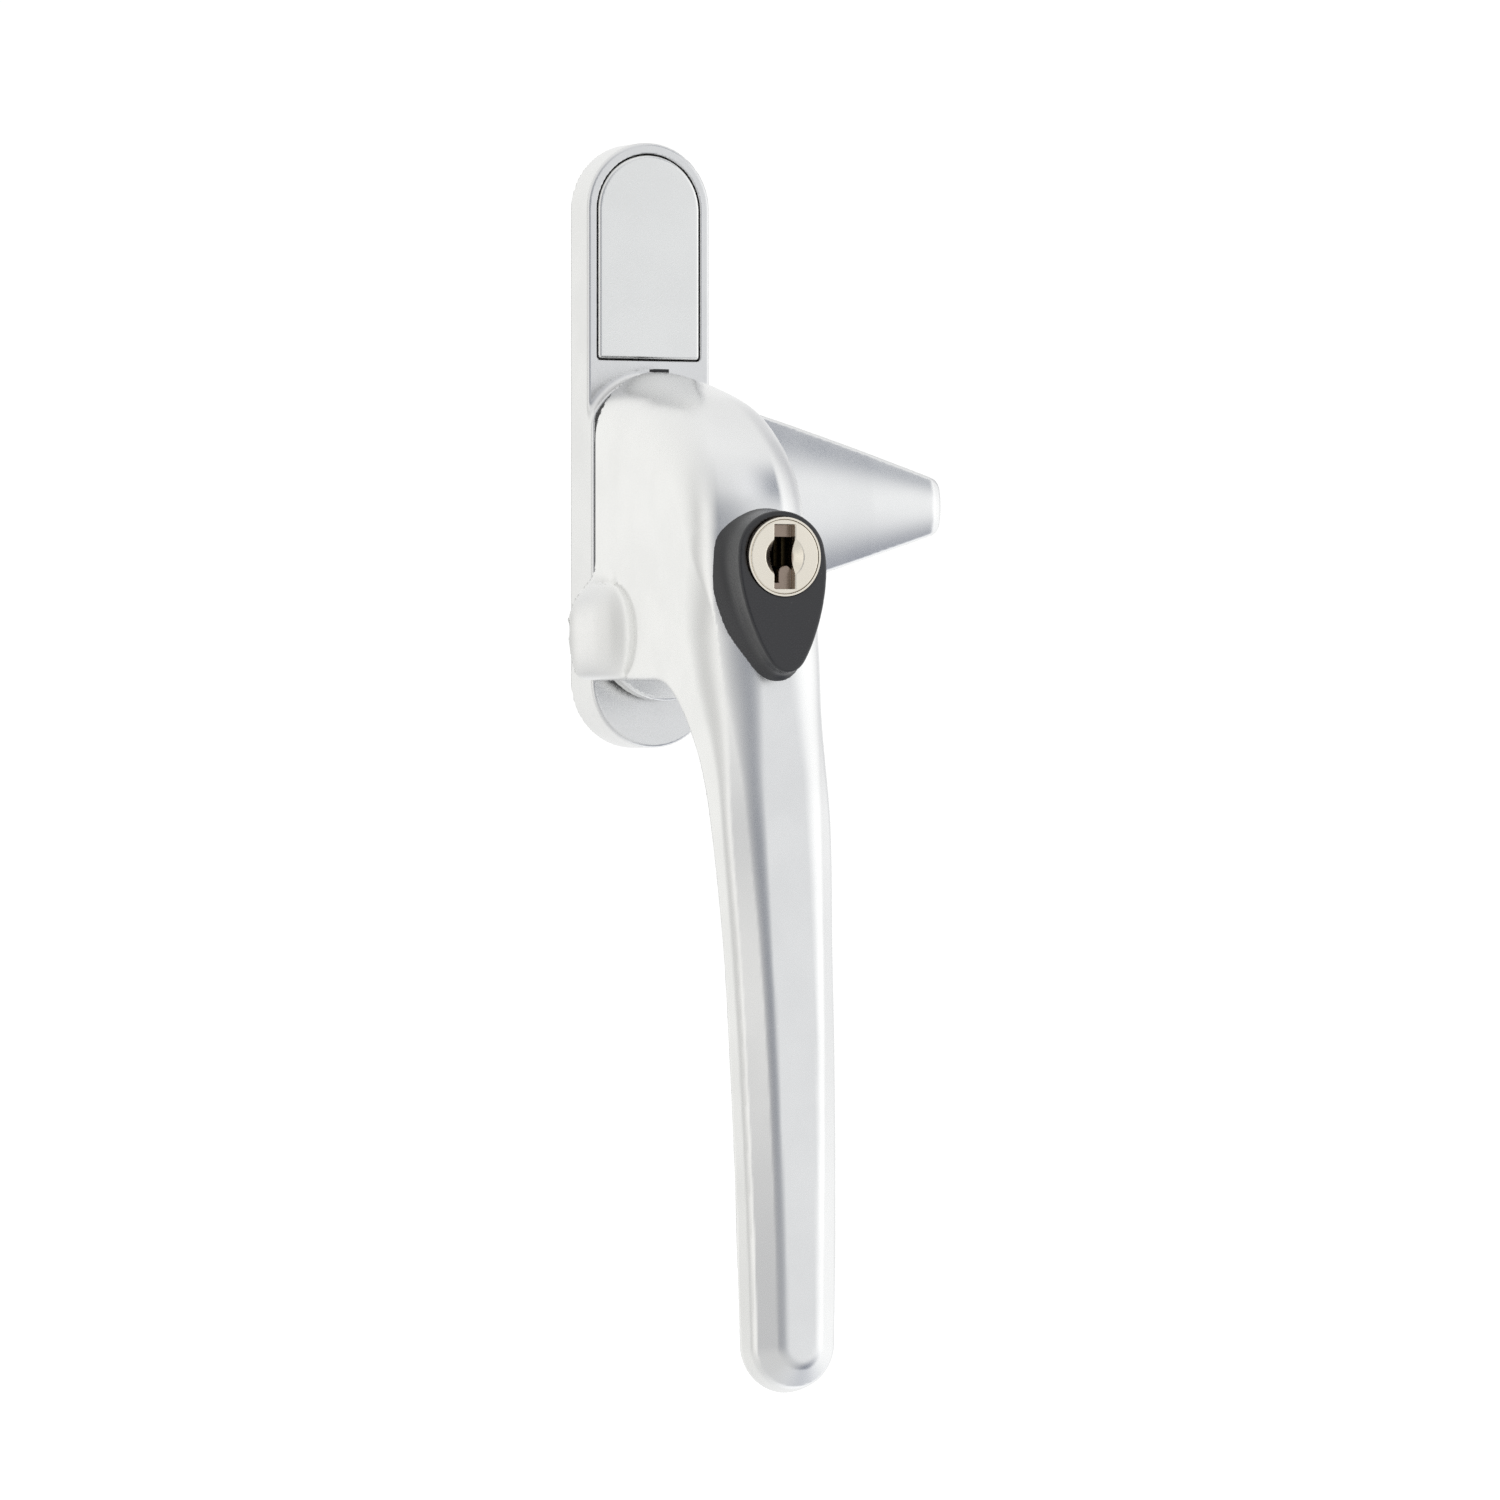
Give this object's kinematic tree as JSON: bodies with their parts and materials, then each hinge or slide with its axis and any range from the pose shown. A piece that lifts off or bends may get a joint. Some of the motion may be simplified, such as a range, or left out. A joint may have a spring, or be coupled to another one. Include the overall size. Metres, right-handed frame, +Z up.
{
  "type": "keyed window lock handle",
  "caption": "Lockable cockspur window handle with obround backplate, snap-in screw cover, long bevelled grip, side nose, teardrop shroud and key cylinder driving a locking bolt.",
  "frame": {"origin": "on the pivot axis, in the plane of the backplate's back face", "axes": "+Z up along the backplate, +Y into the window along the pivot axis, +X to the right, the way the nose points"},
  "size_m": [0.0636, 0.0781, 0.1919],
  "materials": {
    "satin_chrome": "satin chrome on a zinc casting",
    "black_nylon": "moulded nylon",
    "black_plastic": "satin black moulding",
    "nickel": "brushed nickel",
    "zinc_steel": "bright zinc plate",
    "spring_steel": "oiled spring steel",
    "brass": "stamped brass"
  },
  "bodies": {
    "backplate": {"backplate": "satin_chrome", "cover_cap": "satin_chrome", "fixing_screws": "zinc_steel"},
    "handle": {"handle": "satin_chrome", "spur": "satin_chrome", "spur_screws": "zinc_steel", "nylon_washer": "black_nylon", "pivot_spindle": "zinc_steel", "retaining_clip": "spring_steel", "thrust_washer": "zinc_steel", "disc_spring": "spring_steel", "lock_shroud": "black_plastic", "lock_cylinder": "nickel", "lock_screw": "zinc_steel"},
    "key_plug": {"key_plug": "nickel", "cam_sleeve": "zinc_steel", "cam_clip": "spring_steel", "wafer_springs": "spring_steel"},
    "wafers": {"wafers": "brass"},
    "locking_bolt": {"locking_bolt": "zinc_steel"}
  },
  "joints": [
    {"name": "handle_turn", "type": "hinge", "parent": "backplate", "child": "handle", "pos_m": [0, 0, 0], "axis": [0, 1, 0], "range_deg": [0, 90]},
    {"name": "key_turn", "type": "hinge", "parent": "handle", "child": "key_plug", "pos_m": [0, 0, -0.0039], "axis": [0, -1, 0], "range_deg": [0, 90]},
    {"name": "bolt_throw", "type": "slide", "parent": "handle", "child": "locking_bolt", "axis": [0, 1, 0], "range_m": [0, 0.0055]},
    {"name": "wafer_slide", "type": "slide", "parent": "key_plug", "child": "wafers", "axis": [0, 0, 1], "range_m": [0, 0.00055], "deforming": ["wafer_springs"]}
  ],
  "couplings": [
    {"joint": "key_turn", "follows": "bolt_throw", "rad_per_m": 285.6}
  ]
}
